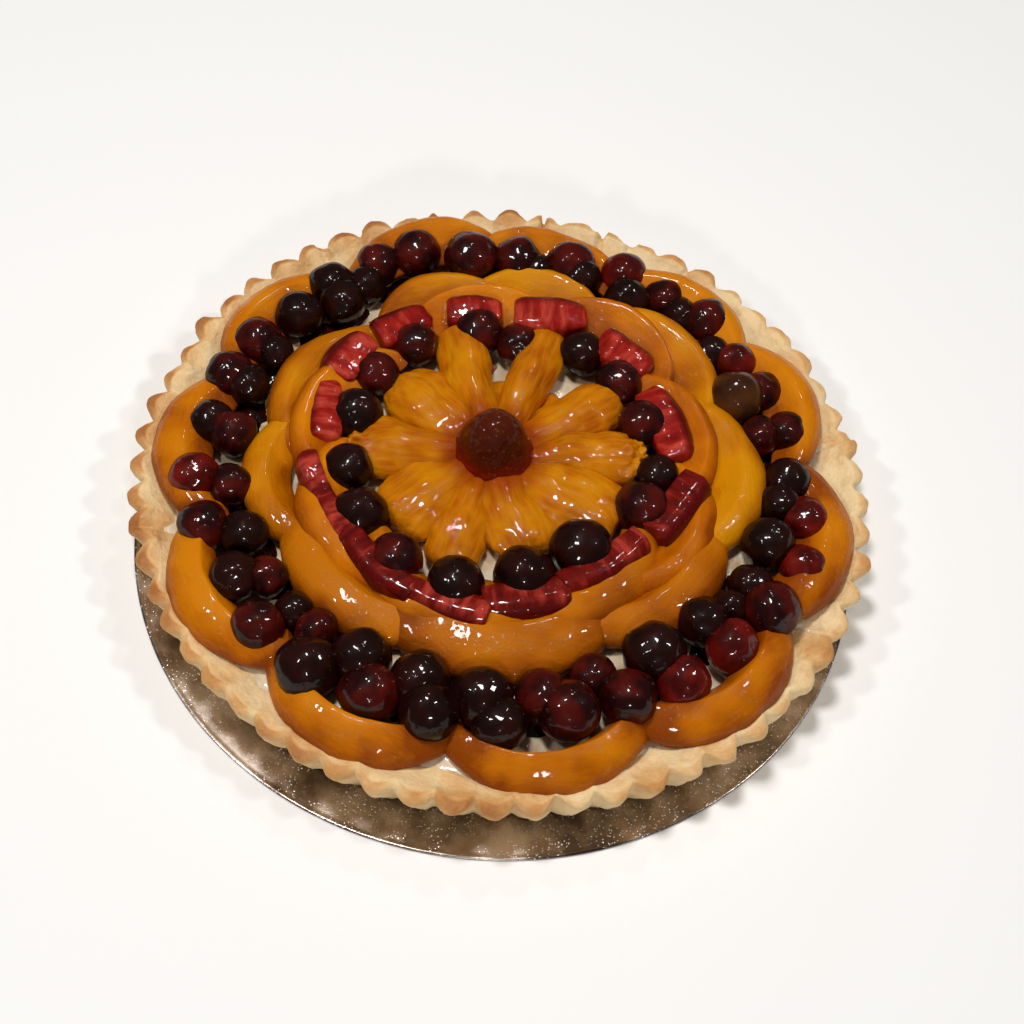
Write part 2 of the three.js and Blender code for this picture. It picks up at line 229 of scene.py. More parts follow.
PEACH_OUTER = peach_material("tinned_peach_orange", "#D07C02", "#BC6600", "#904200", -11)
PEACH_LOWER = peach_material("tinned_peach_yellow", "#D08602", "#BC6C00", "#984C00")
PEACH_UPPER = peach_material("tinned_peach_amber", "#D27A02", "#B86000", "#904200")
# A darker copy of the peach: painted shade from the berries, for the front slices of the two inner
# tiers.
PEACH_SHADED = peach_material("tinned_peach_painted_shade", "#BE6C02", "#A65600", "#823C00")
print("peach:", PEACH_OUTER.name, PEACH_LOWER.name, PEACH_UPPER.name, PEACH_SHADED.name)

# %% [markdown]
# A mandarin segment is a bag of juice sacs that point outwards from the middle. Long, narrow
# Voronoi cells give the sacs: each is about 2 mm wide and 11 mm long, and the seams between
# them are a little lighter where the thin skins meet. Around the whole strawberry, which stands
# at `ROSETTE` from the tart's axis, its juice has run into them and made them redder.

# %% Mandarin flesh
ROSETTE = (-5, 6)
SAC_LENGTH = 11
SAC_WIDTH = 2.2
MANDARIN, tree, body, spot = start_material(
    "mandarin_flesh", "mandarin", Roughness=0.36, IOR=1.38, Coat_Weight=0.35, **GLAZE,
    Subsurface_Weight=0.35, Subsurface_Radius=(1.0, 0.42, 0.06), Subsurface_Scale=6 * MM,
)
along = add(
    tree, "ShaderNodeMapping",
    {"Vector": spot, "Scale": (per_mm(SAC_LENGTH), per_mm(SAC_WIDTH), per_mm(SAC_WIDTH))},
)
sacs = add(tree, "ShaderNodeTexVoronoi", {"Vector": along, "Scale": 1.0, "Randomness": 0.9})
seams = add(
    tree, "ShaderNodeMapRange", {0: sacs, 1: 0.3, 2: 0.8, 3: 0.0, 4: 0.3},
    interpolation_type="SMOOTHSTEP",
)
patch = add(tree, "ShaderNodeTexNoise", {"Vector": spot, "Scale": per_mm(16), "Detail": 2.0})
flesh = add(
    tree, "ShaderNodeValToRGB", {"Fac": patch},
    stops=[(0.35, "#AA5600"), (0.52, "#BE6A00"), (0.68, "#CC8000")],
)
pale = add(
    tree, "ShaderNodeMix", {0: seams, 6: flesh, 7: linear("#D49210")}, data_type="RGBA"
)
where = add(tree, "ShaderNodeNewGeometry").outputs["Position"]
heart = ((AXIS.x + ROSETTE[0]) * MM, (AXIS.y + ROSETTE[1]) * MM, 38 * MM)
far = add(tree, "ShaderNodeVectorMath", {0: where, 1: heart}, operation="DISTANCE")
stain = add(
    tree, "ShaderNodeMapRange", {0: far.outputs["Value"], 1: 15 * MM, 2: 27 * MM, 3: 0.75, 4: 0.0},
    interpolation_type="SMOOTHSTEP",
)
stained = add(
    tree, "ShaderNodeMix", {0: stain, 6: pale.outputs[2], 7: linear("#8E2606")}, data_type="RGBA"
)
tree.links.new(stained.outputs[2], body.inputs["Base Color"])
glaze_over(tree, body, spot, (sacs, -0.3), swell=0.16, drops=0.3, drop_size=2.4)
print("mandarin sacs:", SAC_LENGTH, "x", SAC_WIDTH, "mm")

# %% [markdown]
# Dark berries are nearly black where they are ripe and wine red where light comes through the
# skin. The glaze makes them shine like glass beads. Three batches of ripeness are mixed in the
# rings, and one brown, half dried kind turns up here and there. The gaps between the berries
# are darkened partly by the juice that runs out of them and partly by painted shade.

# %% Berries and their juice
def berry_material(name, dark, light, glow):
    material, tree, body, spot = start_material(
        name, "berry", Roughness=0.38, IOR=1.38, Coat_Weight=0.42, **GLAZE,
        Subsurface_Weight=glow, Subsurface_Radius=(1.0, 0.1, 0.08), Subsurface_Scale=4 * MM,
    )
    patch = add(tree, "ShaderNodeTexNoise", {"Vector": spot, "Scale": per_mm(9), "Detail": 2.0})
    tone = add(
        tree, "ShaderNodeValToRGB", {"Fac": patch}, stops=[(0.4, dark), (0.66, light)]
    )
    tree.links.new(tone.outputs[0], body.inputs["Base Color"])
    glaze_over(tree, body, spot, (patch, 0.3), swell=0.45, drops=0.22, drop_size=3.2)
    return material


BERRIES = {
    "black": berry_material("berry_ripe", "#160502", "#260804", 0.05),
    "wine": berry_material("berry_wine", "#200403", "#4E0C06", 0.12),
    "red": berry_material("berry_red", "#3E0604", "#6E120A", 0.22),
    "brown": berry_material("berry_half_dried", "#34190A", "#4E2A0E", 0.2),
    # Juice and stained cream between the berries: partly berry juice, partly painted shade in the
    # gaps.
    "juice": berry_material("berry_juice_and_shade", "#1A0602", "#3A0E05", 0.1),
    "stained": berry_material("cream_with_juice_and_shade", "#8E4A34", "#C99C82", 0.3),
}
print("berry batches:", ", ".join(BERRIES))

# %% [markdown]
# A strawberry is red skin set with small pale seeds, and paler, streaked flesh inside. The
# streaks run from the heart to the skin. The seeds only show on the skin, which is the side
# of each cut piece that faces away from the middle of the tart: its own +Y. The front pieces
# have soaked up berry juice and are darker.

# %% Cut strawberry flesh and skin
SEED_SPACING = 3.4


def strawberry_material(name, deep, middle, light):
    material, tree, body, spot = start_material(
        name, "strawberry", Roughness=0.36, IOR=1.38, Coat_Weight=0.5, **GLAZE,
        Subsurface_Weight=0.2, Subsurface_Radius=(1.0, 0.2, 0.14), Subsurface_Scale=4 * MM,
    )
    across = add(
        tree, "ShaderNodeMapping",
        {"Vector": spot, "Scale": (per_mm(3.5), per_mm(12), per_mm(9))},
    )
    streaks = add(tree, "ShaderNodeTexNoise", {"Vector": across, "Scale": 1.0, "Detail": 3.0})
    piece_tone = add(tree, "ShaderNodeObjectInfo").outputs["Random"]
    mixed = add(
        tree, "ShaderNodeMath", {0: piece_tone, 1: 0.2, 2: streaks}, operation="MULTIPLY_ADD"
    )
    flesh = add(
        tree, "ShaderNodeValToRGB", {"Fac": mixed},
        stops=[(0.4, deep), (0.62, middle), (0.86, light)],
    )
    own = add(tree, "ShaderNodeTexCoord").outputs["Object"]
    side = add(tree, "ShaderNodeSeparateXYZ", {0: own}).outputs["Y"]
    skin = add(tree, "ShaderNodeMapRange", {0: side, 1: MM, 2: 4.5 * MM, 3: 0.0, 4: 1.0})
    skinned = add(
        tree, "ShaderNodeMix", {0: skin, 6: flesh, 7: linear("#560503")}, data_type="RGBA"
    )
    tree.links.new(skinned.outputs[2], body.inputs["Base Color"])
    cells = add(tree, "ShaderNodeTexVoronoi", {"Vector": spot, "Scale": per_mm(SEED_SPACING)})
    pits = add(tree, "ShaderNodeMapRange", {0: cells, 1: 0.05, 2: 0.3, 3: 1.0, 4: 0.0})
    pits = add(tree, "ShaderNodeMath", {0: pits, 1: skin}, operation="MULTIPLY")
    glaze_over(tree, body, spot, (streaks, 0.1), (pits, -0.3), swell=0.25, drops=0.2)
    return material


STRAWBERRY_CUT = strawberry_material("strawberry_cut", "#700A06", "#96180E", "#C44A38")
STRAWBERRY_SOAKED = strawberry_material("strawberry_soaked", "#4E0603", "#700E06", "#B43C2E")
print("strawberry seeds:", SEED_SPACING, "mm apart")

# %% [markdown]
# The whole strawberry is brown towards its tip and bright red only at its foot. Pits 2 mm apart
# hold the seeds.

# %% Whole strawberry skin
STRAWBERRY_WHOLE, tree, body, spot = start_material(
    "strawberry_whole", "strawberry", Roughness=0.4, IOR=1.38, Coat_Weight=0.35, **GLAZE,
    Subsurface_Weight=0.12, Subsurface_Radius=(1.0, 0.2, 0.14), Subsurface_Scale=4 * MM,
)
own = add(tree, "ShaderNodeTexCoord").outputs["Object"]
high = add(tree, "ShaderNodeSeparateXYZ", {0: own}).outputs["Z"]
cloud = add(tree, "ShaderNodeTexNoise", {"Vector": spot, "Scale": per_mm(8), "Detail": 3.0})
blur = add(tree, "ShaderNodeMath", {0: cloud, 1: 8 * MM, 2: high}, operation="MULTIPLY_ADD")
place = add(tree, "ShaderNodeMapRange", {0: blur, 1: 2 * MM, 2: 16 * MM, 3: 0.0, 4: 1.0})
tone = add(
    tree, "ShaderNodeValToRGB", {"Fac": place},
    stops=[(0.1, "#A0140A"), (0.5, "#6C1405"), (0.9, "#4C1604")],
)
cells = add(tree, "ShaderNodeTexVoronoi", {"Vector": spot, "Scale": per_mm(2.0)})
pits = add(tree, "ShaderNodeMapRange", {0: cells, 1: 0.05, 2: 0.35, 3: 1.0, 4: 0.0})
faint = add(tree, "ShaderNodeMath", {0: pits, 1: 0.3}, operation="MULTIPLY")
seeded = add(
    tree, "ShaderNodeMix", {0: faint, 6: tone, 7: linear("#8A4A1C")}, data_type="RGBA"
)
tree.links.new(seeded.outputs[2], body.inputs["Base Color"])
glaze_over(tree, body, spot, (pits, -0.2), swell=0.12, drops=0.2, drop_size=2.2)
print("made", STRAWBERRY_WHOLE.name)

# %% [markdown]
# ## Pastry, cream and metal
#
# Shortcrust is flour and butter baked dry: matt, sandy to the touch and pale, and golden where
# the oven reached it first, on the tips and along the rim. How brown each spot is depends on
# the shape, so the mesh carries it as a colour attribute named `browning`, and the material
# mixes it with noise.

# %% Shortcrust pastry
PASTRY, tree, body, spot = start_material(
    "shortcrust_pastry", "pastry", Roughness=0.6, IOR=1.45,
    Subsurface_Weight=0.15, Subsurface_Radius=(1.0, 0.6, 0.3), Subsurface_Scale=3 * MM,
)
browning = add(tree, "ShaderNodeAttribute", attribute_name="browning").outputs["Fac"]
crumb = add(
    tree, "ShaderNodeTexNoise",
    {"Vector": spot, "Scale": per_mm(8), "Detail": 5.0, "Roughness": 0.65},
)
speck = add(tree, "ShaderNodeTexNoise", {"Vector": spot, "Scale": per_mm(1.4), "Detail": 3.0})
uneven = add(
    tree, "ShaderNodeMath", {0: crumb, 1: 0.9, 2: browning}, operation="MULTIPLY_ADD"
)
baked = add(tree, "ShaderNodeMath", {0: uneven, 1: 0.45}, operation="SUBTRACT")
tone = add(
    tree, "ShaderNodeValToRGB", {"Fac": baked},
    stops=[(0.0, "#EED2A0"), (0.3, "#E2B87E"), (0.62, "#CE9454"), (1.0, "#A8682E")],
)
tree.links.new(tone.outputs[0], body.inputs["Base Color"])
rise = add(tree, "ShaderNodeBump", {"Height": crumb, "Distance": 1.2 * MM})
sand = add(tree, "ShaderNodeBump", {"Height": speck, "Distance": 0.35 * MM, "Normal": rise})
tree.links.new(sand.outputs[0], body.inputs["Normal"])
print("made", PASTRY.name)

# %% [markdown]
# Pastry cream is milk, egg and starch: opaque, pale yellow, and moist enough to shine a little.
# It lets some light in, and the thin glaze has run over it too.

# %% Pastry cream
CREAM, tree, body, spot = start_material(
    "pastry_cream", "cream", Roughness=0.4, IOR=1.45, Coat_Weight=0.5, Coat_Roughness=0.1,
    Subsurface_Weight=0.3, Subsurface_Radius=(1.0, 0.75, 0.45), Subsurface_Scale=3 * MM,
)
lumps = add(tree, "ShaderNodeTexNoise", {"Vector": spot, "Scale": per_mm(11), "Detail": 3.0})
tone = add(
    tree, "ShaderNodeValToRGB", {"Fac": lumps}, stops=[(0.35, "#CDB088"), (0.6, "#EBDABE")]
)
tree.links.new(tone.outputs[0], body.inputs["Base Color"])
glaze_over(tree, body, spot, (lumps, 1.0), swell=0.4, drops=0.12)
print("made", CREAM.name)

# %% [markdown]
# The base of the tin is rolled tinplate, flat and bright. Years of use have rubbed a haze of
# fine scratches into it, and it is dusted with spots of glaze and sugar. The haze is a patchy
# roughness; the spots are small cells that are rougher and lighter than the metal.

# %% Rolled tinplate
TINPLATE, tree, body, spot = start_material("rolled_tinplate", "plate_metal", Metallic=1.0)
smear = add(
    tree, "ShaderNodeTexNoise",
    {"Vector": spot, "Scale": per_mm(34), "Detail": 5.0, "Roughness": 0.62},
)
fine = add(tree, "ShaderNodeTexNoise", {"Vector": spot, "Scale": per_mm(2.5), "Detail": 5.0})
cells = add(tree, "ShaderNodeTexVoronoi", {"Vector": spot, "Scale": per_mm(1.3)})
dots = add(tree, "ShaderNodeMapRange", {0: cells, 1: 0.14, 2: 0.3, 3: 1.0, 4: 0.0})
clouds = add(tree, "ShaderNodeTexNoise", {"Vector": spot, "Scale": per_mm(18), "Detail": 3.0})
dusty = add(tree, "ShaderNodeMapRange", {0: clouds, 1: 0.36, 2: 0.6, 3: 0.05, 4: 1.0})
dust = add(tree, "ShaderNodeMath", {0: dots, 1: dusty}, operation="MULTIPLY")
haze = add(tree, "ShaderNodeMapRange", {0: smear, 1: 0.35, 2: 0.68, 3: 0.12, 4: 0.34})
rough = add(tree, "ShaderNodeMath", {0: dust, 1: 0.3, 2: haze}, operation="MULTIPLY_ADD")
tree.links.new(rough.outputs[0], body.inputs["Roughness"])
metal = add(
    tree, "ShaderNodeValToRGB", {"Fac": smear},
    stops=[(0.38, "#6C5E5A"), (0.5, "#A09288"), (0.64, "#D2C6C0")],
)
dusted = add(
    tree, "ShaderNodeMix", {0: dust, 6: metal, 7: linear("#F2ECE0")}, data_type="RGBA"
)
tree.links.new(dusted.outputs[2], body.inputs["Base Color"])
bare = add(tree, "ShaderNodeMapRange", {0: dust, 1: 0.0, 2: 1.0, 3: 1.0, 4: 0.35})
tree.links.new(bare.outputs[0], body.inputs["Metallic"])
wear = add(tree, "ShaderNodeBump", {"Height": fine, "Distance": 0.05 * MM})
spots = add(tree, "ShaderNodeBump", {"Height": dust, "Distance": 0.12 * MM, "Normal": wear})
tree.links.new(spots.outputs[0], body.inputs["Normal"])
print("made", TINPLATE.name)

# %% [markdown]
# ## Making meshes
#
# Three ways cover every piece. A *turned* piece is a profile carried round the axis. A *lofted*
# piece is a row of cross-sections joined with quads, which subdivision then rounds. A berry is
# a ball of equal triangles that is pushed out of true. All take points in millimetres.
#
# Whatever the way, a new piece gets its material, which carries the CAD material slot, and is
# hung from the body that it moves with; the CAD nodes that it stands for are hidden.

# %% A new piece
def add_object(name, data):
    obj = bpy.data.objects.new(name, data)
    bpy.context.scene.collection.objects.link(obj)
    return obj


def piece(name, points, faces, material, *nodes):
    mesh = bpy.data.meshes.new(name)
    mesh.from_pydata([Vector(p) * MM for p in points], [], faces)
    return dress(add_object(name, mesh), material, *nodes)


def dress(obj, material, *nodes):
    """Outward normals, smooth shading, the material, and the CAD nodes that it stands for."""
    work = bmesh.new()
    work.from_mesh(obj.data)
    bmesh.ops.recalc_face_normals(work, faces=work.faces)
    for face in work.faces:
        face.smooth = True
    work.to_mesh(obj.data)
    work.free()
    obj.data.materials.clear()
    obj.data.materials.append(material)
    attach(obj, "root")
    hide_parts(*nodes)
    return obj


print("meshes before the first piece:", len(bpy.data.meshes))

# %% [markdown]
# Both skins are grids of quads. `loft` closes one at its two end sections. `around` carries a
# profile round the axis: an open profile leaves a hole at the axis on top and underneath, and
# one face fills each; a closed profile makes a ring that needs none.

# %% Grids of quads
def loft(rings):
    """Quads between one ring of points and the next, with the two ends closed."""
    n = len(rings[0])
    points = [p for ring in rings for p in ring]
    faces = [
        (i * n + k, i * n + (k + 1) % n, (i + 1) * n + (k + 1) % n, (i + 1) * n + k)
        for i in range(len(rings) - 1)
        for k in range(n)
    ]
    last = (len(rings) - 1) * n
    faces.append(tuple(range(n)))
    faces.append(tuple(last + k for k in range(n)))
    return points, faces


def around(steps, n, closed=False):
    """The faces of a skin made of `steps` copies of a profile of n points."""
    faces = [
        (i * n + k, i * n + (k + 1) % n, (i + 1) % steps * n + (k + 1) % n, (i + 1) % steps * n + k)
        for i in range(steps)
        for k in range(n if closed else n - 1)
    ]
    if not closed:
        faces.append(tuple(i * n for i in range(steps)))
        faces.append(tuple(i * n + n - 1 for i in range(steps)))
    return faces


def turned(profile, steps, closed=False):
    """The points and faces of a profile, (radius, height) each, carried round the axis."""
    points = []
    for i in range(steps):
        a = 2 * math.pi * i / steps
        points += [(r * math.cos(a), r * math.sin(a), z) for r, z in profile]
    return points, around(steps, len(profile), closed)


print("a stub turned in 8 steps has", len(turned([(1, 0), (0.5, 1)], 8)[1]), "faces")

# %% [markdown]
# Then the piece is shaped and laid. `soften` rounds it by subdivision, `roughen` pushes the
# points about by noise, and `put` lays it in its place.

# %% Shaping and placing
def soften(obj, levels, creased=(), crisp=0.45):
    """Subdivides for good. `creased` lists the edges, as pairs of points, that stay crisp."""
    if creased:
        wanted = {tuple(sorted(pair)) for pair in creased}
        work = bmesh.new()
        work.from_mesh(obj.data)
        layer = work.edges.layers.float.new("crease_edge")
        for edge in work.edges:
            if tuple(sorted(v.index for v in edge.verts)) in wanted:
                edge[layer] = crisp
        work.to_mesh(obj.data)
        work.free()
    obj.modifiers.new("soften", "SUBSURF").levels = levels
    bpy.context.view_layer.update()
    graph = bpy.context.evaluated_depsgraph_get()
    rounded = bpy.data.meshes.new_from_object(obj.evaluated_get(graph))
    obj.modifiers.clear()
    obj.data = rounded


def roughen(obj, height, size, seed=0.0, mask=None):
    """Moves every point along its normal by noise `size` mm wide and `height` mm high."""
    mesh = obj.data
    shift = Vector((seed * 3.1, seed * 1.7, seed * 0.9))
    moves = []
    for v in mesh.vertices:
        amount = noise.noise(v.co / (size * MM) + shift) * height * MM
        if mask:
            amount *= mask(v.co / MM)
        moves.append(v.normal * amount)
    for v, move in zip(mesh.vertices, moves):
        v.co += move


def put(obj, x, y, z, turn=0.0, lean=0.0):
    """Turns the piece about Z, leans it about its own X, and lays it x, y from the tart's axis."""
    at = Vector((AXIS.x + x, AXIS.y + y, z)) * MM
    spin = Matrix.Rotation(math.radians(turn), 4, "Z")
    obj.matrix_world = Matrix.Translation(at) @ spin @ Matrix.Rotation(math.radians(lean), 4, "X")
    return obj


chance = random.Random(28)

# %% [markdown]
# ## The tin's base
#
# A disc 274 mm across and 1 mm thick. The sheet is cut and its edge rolled a little, which is
# what draws the thin double line of light around it.

# %% Base disc
base_profile = [
    (60, 0), (120, 0), (136.4, 0), (136.8, 0.12), (137, 0.4), (136.95, 0.75), (136.7, 0.95),
    (136.3, 1.0), (135.8, 0.98), (135.3, 0.86), (134.9, 0.8), (134.2, 0.8), (120, 0.8), (60, 0.8),
]
points, faces = turned(base_profile, 256)
tin_base = piece("tin_base", points, faces, TINPLATE, "base_plate")
print("base disc:", [round(d / MM, 1) for d in tin_base.dimensions], "mm")

# %% [markdown]
# ## The crust
#
# Pastry pressed into a fluted tin takes sixty round lobes with sharp creases between them, on
# the inside as well as the outside. It is a turned profile whose radius swings with the angle.
# Handwork shows in the rest: each lobe is a little higher or lower than the next, some are
# worn, and the rim has cracked in a few places, most of them at the back (+Y).

# %% Crust sizes
FLUTES = 60
LOBE_PITCH = 360 / FLUTES
FIRST_TIP = 4.0
FLUTE_DEPTH = 5.8
RIM_TOP = 26.0
CRUST_BOTTOM = 1.3
# Cracks in the rim: (angle in degrees, depth in mm, half width in degrees).
CRACKS = [
    (72, 3, 0.5), (77.5, 5, 0.6), (88, 6, 0.5), (105, 6, 1.6), (61, 2.5, 0.6), (17, 3, 0.8),
    (338, 3, 0.7), (128, 2.5, 0.7), (196, 2.5, 0.8),
]
# Worn stretches: (angle, half width in degrees, how much of the lobes is gone).
WORN = [(233, 13, 0.55), (327, 8, 0.35), (262, 6, 0.2), (68, 26, 0.3), (30, 9, 0.25)]
# The profile at a lobe's tip, from the floor's middle over the rim to the underside:
# (radius, height, share of the flute's depth).
CRUST_PROFILE = [
    (30, 4.3, 0), (90, 4.3, 0), (112, 6, 0), (117, 16, 0), (120, 19.4, 0), (123, 21.0, 0.02),
    (126, 22.0, 0.06), (128.6, 22.9, 0.14), (130.8, 23.8, 0.26), (132.6, 24.6, 0.4),
    (134.2, 25.3, 0.56), (135.6, 25.8, 0.7), (136.8, 26.0, 0.82), (138, 25.9, 0.92),
    (139, 25.4, 1), (139.7, 24.5, 1), (139.8, 23.4, 1), (139, 21.4, 0.95), (137.7, 18.5, 0.85),
    (136, 14.5, 0.75), (133.6, 10, 0.6), (131, 5.5, 0.45), (129.2, 2.6, 0.35), (128, 1.5, 0.3),
    (126, 1.3, 0.2), (118, 1.3, 0), (60, 1.3, 0), (20, 1.3, 0),
]
print("crust profile:", len(CRUST_PROFILE), "points,", FLUTES, "flutes")

# %% [markdown]
# Two functions of the angle do most of the work: how far a spot is from the crease of its lobe,
# and how far apart two directions are, which says how much of a crack or a worn stretch it has.

# %% Lobes
def lobe(angle):
    """0 in the crease between two lobes, 1 at a lobe's tip."""
    half_turns = (angle - math.radians(FIRST_TIP + LOBE_PITCH / 2)) * FLUTES / 2
    return abs(math.sin(half_turns)) ** 0.95


def apart(a, b):
    return abs((a - b + 180) % 360 - 180)


lobe_noise = [chance.uniform(-1, 1) for _ in range(FLUTES)]
print("lobe at its tip:", round(lobe(math.radians(FIRST_TIP)), 3))

# %% [markdown]
# The profile is carried round in fourteen steps to a lobe. `high` grows from 0 at the foot to 1
# at the rim, and every unevenness grows with it, so that the foot stays true. `brown` is highest
# at the tips, outside, and towards the side of the tart at `DARKER_SIDE` degrees.

# %% Crust
CRUST_STEPS = FLUTES * 14
DARKER_SIDE = 160
crust_points, crust_browning = [], []
for i in range(CRUST_STEPS):
    angle = 2 * math.pi * i / CRUST_STEPS
    degrees = math.degrees(angle)
    own = lobe_noise[int((degrees - FIRST_TIP) % 360 / LOBE_PITCH + 0.5) % FLUTES]
    wear = sum(g * math.exp(-((apart(degrees, c) / w) ** 2)) for c, w, g in WORN)
    crack = sum(d * math.exp(-((apart(degrees, c) / w) ** 4)) for c, d, w in CRACKS)
    waver = noise.noise(Vector((math.cos(angle) * 4, math.sin(angle) * 4, 7)))
    tip = lobe(angle)
    for radius, height, share in CRUST_PROFILE:
        high = max(0.0, (height - 8) / (RIM_TOP - 8)) if radius > 118 else 0.0
        depth = FLUTE_DEPTH * share * (1 - 0.6 * wear)
        r = radius - depth * (1 - tip) + share * tip * (1.1 * own - 2.4 * wear) * high
        z = height + high * high * (0.7 * own * tip + 1.1 * waver - 2.0 * wear - crack)
        z = max(z, CRUST_BOTTOM)
        crust_points.append((r * math.cos(angle), r * math.sin(angle), z))
        outside = 1.0 if radius > 136 else 0.3
        toward_side = 0.5 + 0.4 * math.cos(math.radians(degrees - DARKER_SIDE))
        brown = high**3 * (0.1 + (0.25 + 0.5 * toward_side) * tip * outside) + 0.25 * toward_side * outside
        patch = noise.noise(Vector((r * math.cos(angle) / 16, r * math.sin(angle) / 16, 3)))
        crust_browning.append(brown + 0.2 * own * high + 0.35 * patch * high)

crust_faces = around(CRUST_STEPS, len(CRUST_PROFILE))
crust = piece("pastry_shell", crust_points, crust_faces, PASTRY, "pastry_crust")
attribute = crust.data.color_attributes.new("browning", "FLOAT_COLOR", "POINT")
for i, brown in enumerate(crust_browning):
    attribute.data[i].color = (brown, brown, brown, 1)
above_foot = lambda p: min(1.0, max(0.0, (p.z - 2.5) / 4))
roughen(crust, 1.4, 9, 1, above_foot)
roughen(crust, 0.4, 2.6, 2, above_foot)
put(crust, 0, 0, 0)
print("crust:", [round(d / MM, 1) for d in crust.dimensions], "mm")

# %% [markdown]
# ## The cream
#
# Pastry cream is spread with a spoon: a low dome that climbs a little up the wall. Only the
# gaps between the fruit show it, so a polar grid with soft lumps is enough.

# %% Cream
CREAM_CENTRE = 27.0
CREAM_EDGE = 20.0
CREAM_RADIUS = 129.0
CREAM_FLOOR = 5.2


def cream_top(r):
    return CREAM_CENTRE - (CREAM_CENTRE - CREAM_EDGE) * (r / CREAM_RADIUS) ** 2


cream_profile = [(r, CREAM_FLOOR) for r in (3, 60, 119.5)]
cream_profile += [(122, 9), (126, 15), (128.6, 19.6), (127.5, 20.8)]
cream_profile += [(r, cream_top(r)) for r in range(125, 2, -4)]
points, faces = turned(cream_profile, 150)
cream = piece("cream_filling", points, faces, CREAM, "pastry_cream")
on_top = lambda p: 1.0 if p.z > 18 else 0.0
roughen(cream, 1.6, 14, 3, on_top)
roughen(cream, 0.7, 5, 4, on_top)
put(cream, 0, 0, 0)
print("cream:", [round(d / MM, 1) for d in cream.dimensions], "mm")

# %% [markdown]
# ## Peach slices
#
# A slice is a wedge of a ball: a rounded skin side outwards, a flat cut side inwards, and a
# ridge where the two meet. Ten points give the cross-section, it is carried along a bent
# spine, and it shrinks to nothing at both ends. The ridge is creased, so that subdivision
# rounds everything else but leaves the knife's edge. Slices lean one way or the other, and
# `ridge` says where the edge comes out on top: 1 at the skin side, -1 at the inner side.

# %% One peach slice
PEACH_LENGTH = 69
PEACH_WIDTH = 24
PEACH_HEIGHT = 15
PEACH_BEND = 38
PEACH_RINGS = 17
# Subdivision draws the skin in, so the section starts wider and higher than the slice.
WIDER = 1.05
HIGHER = 1.22
# Which of the section's points is the ridge, and how far out the outer ring's slices begin.
RIDGE = 3
OUTER_RING = 115


def peach_section(ridge, flat):
    left, right = 1 + ridge, 1 - ridge
    return [
        (-1.0, -0.12), (-1 + 0.34 * left, 0.34), (-1 + 0.7 * left, 0.74), (ridge, 1.02),
        (ridge + 0.42 * right, 0.84 - 0.14 * flat), (ridge + 0.8 * right, 0.44 - 0.2 * flat),
        (1.0, -0.12 - 0.1 * flat), (0.84, -0.8), (0.05, -1.0), (-0.66, -0.66),
    ]


def peach_slice(name, material, node, at, out, lift, size=1.0, lean=0.0):
    # Slices at the front (-Y) lie with their skin side up and were cut thicker. Those of the
    # outer ring there are narrow, stand up behind the berries, and slope flat to the rim.
    near = 0.5 - 0.5 * math.sin(math.radians(at))
    upright = max(0.0, 2 * near - 1) if out > OUTER_RING else 0.0
    length = PEACH_LENGTH + 9 * near
    blunt = 0.56 - 0.2 * near + 0.08 * upright
    thin_inside = 0.26 - 0.14 * near
    ridge = min(lean + 0.48 - 0.96 * near, 0.6) + chance.uniform(-0.06, 0.06)
    wide = PEACH_WIDTH / 2 * size * (1 - 0.28 * upright)
    high = PEACH_HEIGHT / 2 * size * (1 + 0.12 * upright)
    bow = PEACH_BEND * size
    half = math.asin(length * size / 2 / (bow + 2))
    section = peach_section(ridge, upright)
    rings = []
    for i in range(PEACH_RINGS):
        along = -math.cos(math.pi * (i + 0.3) / (PEACH_RINGS - 0.4))
        taper = max(1 - along * along, 0.002) ** blunt
        turn = along * half
        ring = []
        for across, up in section:
            radius = bow + across * wide * taper * WIDER
            height = up * high * (1 - thin_inside * (1 - across)) * taper * HIGHER
            ring.append((-radius * math.sin(turn), radius * math.cos(turn) - bow, height))
        rings.append(ring)
    points, faces = loft(rings)
    obj = piece(name, points, faces, material, node)
    n = len(section)
    edge = [(i * n + RIDGE, (i + 1) * n + RIDGE) for i in range(PEACH_RINGS - 1)]
    soften(obj, 2, edge, 0.45 + 0.35 * upright)
    seed = chance.uniform(0, 90)
    roughen(obj, 1.4, 22, seed)
    roughen(obj, 0.3, 5, seed)
    centre = out - wide
    angle = math.radians(at)
    put(obj, centre * math.cos(angle), centre * math.sin(angle), cream_top(centre) + lift, at - 90)
    return obj


print("a slice's section has", len(peach_section(0, 0)), "points")

# %% [markdown]
# The outer ring leans on the rim. The other slices make two tiers, each a little higher than
# the one outside it. Those at the front (-Y) of the two tiers get a darker copy of the peach,
# which is painted shade from the berries.

# %% Three rings of peaches
# Each slice: direction in degrees, reach and height above the cream in mm, and its size.
OUTER_PEACHES = [
    (87, 127, 5.5), (111, 131, 7.5), (146, 131, 6.5), (179, 133, 6), (213, 134, 6), (247, 134, 6),
    (283, 134, 6), (318, 135, 6.5), (353, 134, 7), (27, 130, 7), (54, 127, 7.5),
]
LOWER_PEACHES = [
    (86, 103, 6, 0.85), (112, 101, 6, 0.85), (155, 99, 6), (188, 99, 6, 0.85), (226, 95, 6),
    (272, 92, 6, 1.15), (328, 94, 6), (8, 100, 6), (50, 103, 6),
]
UPPER_PEACHES = [
    (103, 90, 8, 0.85), (62, 95, 8, 0.85), (22, 84, 8, 0.85), (342, 84, 8, 0.85),
    (302, 77, 8, 0.95), (256, 79, 8, 0.95), (210, 82, 8, 0.95), (163, 85, 8, 0.95),
]
